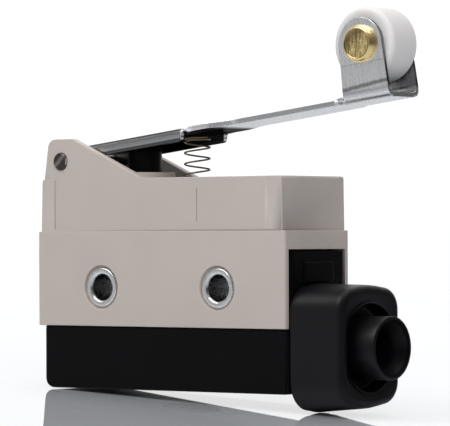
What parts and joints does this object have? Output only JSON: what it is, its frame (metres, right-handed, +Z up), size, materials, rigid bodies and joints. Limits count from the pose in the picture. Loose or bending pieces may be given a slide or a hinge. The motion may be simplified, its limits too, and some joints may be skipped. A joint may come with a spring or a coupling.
{
  "type": "limit switch",
  "caption": "Enclosed snap-action limit switch with a hinged sheet-metal lever, roller, sealed plunger and rubber cable inlet.",
  "frame": {"origin": "centre of the two mounting holes, on the body's middle plane", "axes": "+X along the body towards the cable inlet and the roller, -Y is the front face, +Z up from the terminal cover to the lever"},
  "size_m": [0.0725, 0.0174, 0.066],
  "materials": {
    "beige_plastic": "fine moulded matt, warm grey-beige",
    "black_plastic": "smooth moulded black, low gloss",
    "cap_rubber": "matt black synthetic rubber",
    "seal_rubber": "matt black synthetic rubber",
    "phenolic": "red-brown moulded thermoset",
    "plated_steel": "bright zinc plating",
    "pin_steel": "ground steel pin",
    "stainless_steel": "rolled stainless sheet, fine lengthwise grain",
    "spring_steel": "drawn spring wire",
    "bronze_wire": "drawn phosphor-bronze coloured wire",
    "brass": "stamped brass",
    "rivet_brass": "pressed brass, hammered head",
    "copper_alloy": "rolled beryllium-copper sheet",
    "silver": "silver contact face",
    "red_plastic": "moulded red",
    "bush_plastic": "natural acetal",
    "white_plastic": "natural white nylon, slightly translucent"
  },
  "bodies": {
    "housing": {"upper_case": "beige_plastic", "lower_case": "beige_plastic", "mounting_bushings": "plated_steel", "case_gasket": "seal_rubber", "terminal_cover": "black_plastic", "terminal_gasket": "seal_rubber", "cover_screw": "plated_steel", "cover_insert": "brass", "cable_cap": "cap_rubber", "switch_case": "phenolic", "switch_cover": "phenolic", "common_terminal": "brass", "open_terminal": "brass", "closed_terminal": "brass", "open_contact": "silver", "closed_contact": "silver", "terminal_washers": "plated_steel", "terminal_screws": "plated_steel", "overtravel_spring": "spring_steel", "plunger_bush": "bush_plastic", "plunger_boot": "seal_rubber", "hinge_pin": "pin_steel", "return_spring": "bronze_wire"},
    "lever": {"lever": "stainless_steel", "roller_rivet": "rivet_brass"},
    "roller": {"roller": "white_plastic"},
    "plunger": {"plunger": "plated_steel"},
    "button": {"switch_button": "red_plastic"},
    "blade": {"snap_blade": "copper_alloy", "moving_contact": "silver"}
  },
  "joints": [
    {"name": "lever_hinge", "type": "hinge", "parent": "housing", "child": "lever", "pos_m": [-0.0222, 0, 0.02155], "axis": [0, 1, 0], "range_deg": [0, 10], "stiffness_Nm_per_rad": 0.45, "springref_deg": -14.32, "deforming": ["return_spring"]},
    {"name": "roller_spin", "type": "hinge", "parent": "lever", "child": "roller", "pos_m": [0.03936, 0, 0.03959], "axis": [0, 1, 0], "continuous": true},
    {"name": "plunger_slide", "type": "slide", "parent": "housing", "child": "plunger", "axis": [0, 0, -1], "range_m": [0, 0.0022], "deforming": ["plunger_boot", "overtravel_spring"]},
    {"name": "button_slide", "type": "slide", "parent": "housing", "child": "button", "axis": [0, 0, -1], "range_m": [0, 0.00025]},
    {"name": "blade_hinge", "type": "hinge", "parent": "housing", "child": "blade", "pos_m": [-0.0203, 0, 0.0072], "axis": [0, 1, 0], "range_deg": [0, 1.4]}
  ],
  "couplings": [
    {"joint": "plunger_slide", "follows": "lever_hinge", "m_per_rad": 0.0122},
    {"joint": "button_slide", "follows": "lever_hinge", "m_per_rad": 0.00134},
    {"joint": "blade_hinge", "follows": "lever_hinge", "ratio": 0.133}
  ]
}
